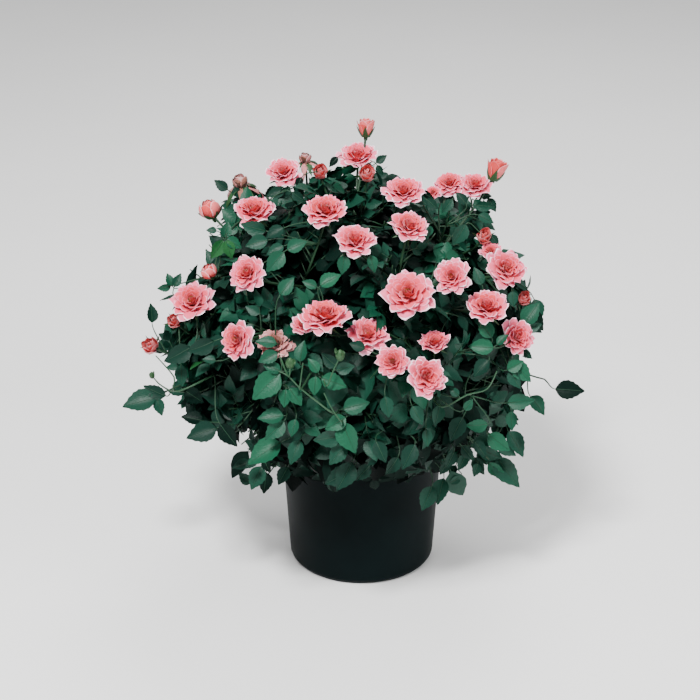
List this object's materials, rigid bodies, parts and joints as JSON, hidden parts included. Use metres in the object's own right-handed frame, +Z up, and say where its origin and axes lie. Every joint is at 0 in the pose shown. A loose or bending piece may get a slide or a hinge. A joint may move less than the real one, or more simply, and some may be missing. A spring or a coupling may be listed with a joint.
{
  "type": "potted miniature rose bush",
  "caption": "Bushy miniature rose in full bloom, with pink double flowers, salmon buds and dark green leaves, growing in a plain black plastic nursery pot.",
  "frame": {"origin": "on the pot's axis, at the flat underside of the pot", "axes": "+Z up, -Y to the front of the bush, +X to the right as seen from the front"},
  "size_m": [0.4496, 0.3778, 0.4469],
  "materials": {
    "pot_plastic": "black moulded plastic, low sheen",
    "potting_mix": "damp peat and bark crumbs",
    "bark": "green young bark, brown at the foot",
    "foliage": "leaves, twigs and flowers"
  },
  "bodies": {
    "root": {"pot": "pot_plastic", "potting_soil": "potting_mix", "main_stem": "bark", "cane_top": "bark", "cane_upper_1": "bark", "cane_upper_2": "bark", "cane_upper_3": "bark", "cane_upper_4": "bark", "cane_upper_5": "bark", "cane_upper_6": "bark", "cane_lower_1": "bark", "cane_lower_2": "bark", "cane_lower_3": "bark", "cane_lower_4": "bark", "cane_lower_5": "bark", "cane_lower_6": "bark", "cane_lower_7": "bark", "cane_lower_8": "bark", "foliage_top": "foliage", "foliage_upper_1": "foliage", "foliage_upper_2": "foliage", "foliage_upper_3": "foliage", "foliage_upper_4": "foliage", "foliage_upper_5": "foliage", "foliage_upper_6": "foliage", "foliage_lower_1": "foliage", "foliage_lower_2": "foliage", "foliage_lower_3": "foliage", "foliage_lower_4": "foliage", "foliage_lower_5": "foliage", "foliage_lower_6": "foliage", "foliage_lower_7": "foliage", "foliage_lower_8": "foliage"}
  },
  "joints": []
}
